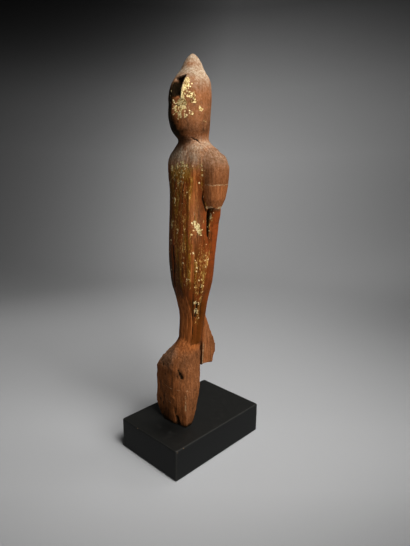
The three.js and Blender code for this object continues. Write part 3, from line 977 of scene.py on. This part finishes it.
def makeLeaf(look):
    draft = bpy.data.objects.new("leaf_draft", figure.data.copy())
    scene.collection.objects.link(draft)
    tree = makeLeafTree()
    material = makeLeafMaterial(look)
    modifier = draft.modifiers.new("gold leaf", "NODES")
    modifier.node_group = tree
    for socket in tree.interface.items_tree:
        if socket.in_out == "INPUT" and socket.name in look:
            modifier[socket.identifier] = look[socket.name]
        elif socket.in_out == "INPUT" and socket.name == "Material":
            modifier[socket.identifier] = material
    graph = bpy.context.evaluated_depsgraph_get()
    mesh = bpy.data.meshes.new_from_object(draft.evaluated_get(graph))
    bpy.data.objects.remove(draft)
    mesh.name = "goldLeaf"
    piece = bpy.data.objects.new("goldLeaf", mesh)
    scene.collection.objects.link(piece)
    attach(piece, "root")
    print("gold leaf made:", len(mesh.polygons), "faces")


makeLeaf(leafLook)


# the black block

blockLook = {
    "voxel": 1.2,
    "paint": colour(17, 18, 17),
    "worn": colour(62, 61, 57),
    "wood": colour(170, 138, 104),
    # chips on the edges: middle and size
    "nicks": [
        ((50, -72.7, 38.4), 0.7),
        ((50, -62.7, 39.2), 0.6),
        ((-20, -75, 39.2), 0.6),
        ((50, 30, 12), 0.6),
    ],
    "figureShadow": ((4, -48, 40), (26, 22, 8)),  # where the figure's painted shadow keeps the top black: middle and size
}


def makePaint(look):
    material, tree = newMaterial("black_paint")
    wear = useGroup(tree, wearGroup, scuffSize=120.0)
    scuffs, grit = wear["Scuffs"], wear["Dust"]
    pores = useGroup(tree, grainGroup, streakSize=500.0, uprightStretch=1.0)["Pores"]
    worn = math2(tree, "MULTIPLY_ADD", scuffs, 0.2, mask(tree, "edge"), clamp=True)
    painted = mixColours(tree, worn, look["paint"], look["worn"])
    chipped = mixColours(tree, mask(tree, "chip"), painted, look["wood"])
    rough = math2(tree, "MULTIPLY_ADD", scuffs, 0.12, 0.56)
    height = weighted(tree, 0.0, (grit, 0.15), (pores, 0.6))
    bump = addNode(tree, "ShaderNodeBump", {"Height": height, "Strength": 0.3, "Distance": 0.0005})
    finishMaterial(
        tree,
        {"Base Color": chipped, "Roughness": rough, "Normal": bump.outputs[0], "Specular IOR Level": 0.3},
    )
    return material


def makeBlock(look):
    piece = fineCopy("stand_block", "standBlock", look["voxel"])
    mesh = piece.data
    pairs = edgePairs(mesh)
    points = smoothed(coordinates(mesh) / mm, pairs, 3, np.full(len(mesh.vertices), 0.8))
    setCoordinates(mesh, points * mm)
    facing = normals(mesh)
    rise = noiseAt(points, (30, 30, 30), 31) * 0.12 - 0.1
    chip = np.zeros(len(points))
    for place, size in look["nicks"]:
        share = blob(points, place, (size, size * 1.3, size))
        rise -= share * 0.5
        chip = np.maximum(chip, softStep(0.35, 0.75, share + 0.15 * noiseAt(points, (1, 1, 1), 33)))
    points = points + facing * rise[:, None]
    corners = (np.array(corner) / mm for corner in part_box("stand_block"))
    points = np.clip(points, *corners)
    # the underside lies flat
    high = points[:, 2]
    points[:, 2] = np.where(high < 0.4, np.maximum(high - 0.4, 0), high)
    setCoordinates(mesh, points * mm)
    edge = 0.45 * softStep(0.1, 0.5, -hollowness(points, pairs, facing, 4))
    # the top is a little worn, but kept black in front of the figure as a painted shadow
    edge += 0.33 * softStep(0.5, 0.9, facing[:, 2]) * (1 - 0.9 * blob(points, *look["figureShadow"]))
    setMask(mesh, "edge", edge)
    setMask(mesh, "chip", chip)
    mesh.shade_smooth()
    mesh.materials.append(makePaint(look))
    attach(piece, "root")
    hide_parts("stand_block")
    print("block made:", len(mesh.vertices), "points")


makeBlock(blockLook)


# the studio: a pale sweep of paper with painted light falloff, three soft lamps and a faint room

studio = {
    "floorRadius": 0.78,
    "sweepRadius": 0.62,
    "wallTop": 2.4,
    "sides": 96,
    "sunk": 0.0003,  # how far the paper lies below the block
    # painted light on the paper: how bright it shows, from the floor in front up to the top of the wall
    "lightByHeight": [
        (0.0, 0.42),
        (0.015, 0.56),
        (0.035, 0.62),
        (0.09, 0.64),
        (0.16, 0.635),
        (0.28, 0.61),
        (0.45, 0.6),
        (0.62, 0.43),
        (0.8, 0.13),
        (1.0, 0.05),
    ],
    "farAway": (-0.69, 0.72),  # X and Y of the way from the camera to the wall behind the object
    "across": (0.72, 0.69),
    # painted light falloff: how fast the paper darkens sideways, on the floor, and what the wall and its top
    # add
    "darkerRight": (2.7, -1.4, 2.0),
    "darkerLeft": (0.35, 2.0, 3.0),
    "darkerNear": 4.0,
}


def sweepMesh(setup):
    # a round floor that curves up into a wall
    radius, sweep, sides = setup["floorRadius"], setup["sweepRadius"], setup["sides"]
    profile = [(radius * share, 0.0) for share in (0.1, 0.3, 0.55, 0.8, 1.0)]
    steps = 16
    for step in range(1, steps + 1):
        turn = step / steps * math.pi / 2
        profile.append((radius + sweep * math.sin(turn), sweep * (1 - math.cos(turn))))
    profile.append((radius + sweep, setup["wallTop"]))
    work = bmesh.new()
    rings = []
    for out, high in profile:
        turns = [2 * math.pi * i / sides for i in range(sides)]
        places = [(out * math.cos(turn), out * math.sin(turn), high - setup["sunk"]) for turn in turns]
        rings.append([work.verts.new(place) for place in places])
    middle = work.verts.new((0, 0, -setup["sunk"]))
    for i in range(sides):
        j = (i + 1) % sides
        work.faces.new((rings[0][i], rings[0][j], middle))
        for inner, outer in zip(rings[:-1], rings[1:]):
            work.faces.new((inner[j], inner[i], outer[i], outer[j]))
    mesh = bpy.data.meshes.new("backdrop")
    work.to_mesh(mesh)
    work.free()
    mesh.shade_smooth()
    return mesh


def paperPaintedLight(tree, setup):
    # painted light on the paper: pale on the floor, darker up the wall and towards both sides
    place = addNode(tree, "ShaderNodeTexCoord").outputs["Object"]
    apart = addNode(tree, "ShaderNodeSeparateXYZ", {0: place}).outputs
    far, across = (
        weighted(tree, math2(tree, "MULTIPLY", apart[0], way[0]), (apart[1], way[1]))
        for way in (setup["farAway"], setup["across"])
    )
    high = apart[2]
    level = weighted(tree, math2(tree, "ADD", high, 0.05), (far, 0.25))
    ramp = addNode(tree, "ShaderNodeValToRGB", {0: math2(tree, "DIVIDE", level, 1.6)})
    stops = ramp.color_ramp.elements
    for position, tone in setup["lightByHeight"]:
        if position in (0.0, 1.0):
            stop = stops[-1 if position else 0]
        else:
            stop = stops.new(position)
        stop.color = (tone, tone, tone, 1)
    wall, top = ranged(tree, far, 0.35, 0.85), ranged(tree, high, 0.5, 1.0)
    aside = math2(tree, "SUBTRACT", across, weighted(tree, -0.07, (ranged(tree, high, 0.0, 0.9), 0.2)))
    squared = math2(tree, "MULTIPLY", aside, aside)
    nearlyLinear = math2(tree, "DIVIDE", squared, math2(tree, "ADD", math2(tree, "ABSOLUTE", aside), 0.1))
    falls = []
    for name, growth in (("darkerRight", squared), ("darkerLeft", nearlyLinear)):
        floorShare, wallShare, topShare = setup[name]
        strength = weighted(tree, floorShare, (wall, wallShare), (top, topShare))
        falls.append(math2(tree, "MULTIPLY", strength, growth))
    right, left = falls
    isLeft = math2(tree, "LESS_THAN", aside, 0.0)
    fall = weighted(tree, right, (math2(tree, "SUBTRACT", left, right), isLeft))
    near = math2(tree, "MULTIPLY", ranged(tree, far, -0.02, -0.28), squared)
    fall = weighted(tree, fall, (near, setup["darkerNear"]))
    light = math2(tree, "EXPONENT", math2(tree, "MULTIPLY", fall, -1.0))
    tone = math2(tree, "MULTIPLY", ramp.outputs[0], light)
    return addNode(tree, "ShaderNodeCombineColor", {0: tone, 1: tone, 2: tone}).outputs[0]


def makeStudio(setup):
    mesh = sweepMesh(setup)
    backdrop = bpy.data.objects.new("backdrop", mesh)
    scene.collection.objects.link(backdrop)
    material, tree = newMaterial("backdrop_paper")
    finishMaterial(tree, {"Base Color": paperPaintedLight(tree, setup), "Roughness": 0.95, "Specular IOR Level": 0.1})
    mesh.materials.append(material)


makeStudio(studio)

lamps = {
    # name: place, aim, width, height, power
    "key": ((1.28, -0.07, 0.75), (0.0, 0.0, 0.25), 1.1, 0.9, 18.6),
    "high": ((0.8, -0.19, 1.5), (0.0, 0.0, 0.2), 0.6, 0.6, 15.8),
    "rim": ((0.6, 1.25, 0.85), (0.0, 0.0, 0.25), 0.8, 0.9, 7.0),
}


def makeLamps(setup):
    for name, (place, aim, width, height, power) in setup.items():
        data = bpy.data.lights.new(name, "AREA")
        data.shape = "RECTANGLE"
        data.size = width
        data.size_y = height
        data.energy = power
        lamp = bpy.data.objects.new(name, data)
        lamp.location = place
        lamp.rotation_euler = (Vector(place) - Vector(aim)).to_track_quat("Z", "Y").to_euler()
        scene.collection.objects.link(lamp)
    world = bpy.data.worlds.new("room")
    world.use_nodes = True
    world.node_tree.nodes["Background"].inputs[0].default_value = (0.9, 0.95, 1.0, 1)
    world.node_tree.nodes["Background"].inputs[1].default_value = 0.01
    scene.world = world


makeLamps(lamps)
print("studio made")
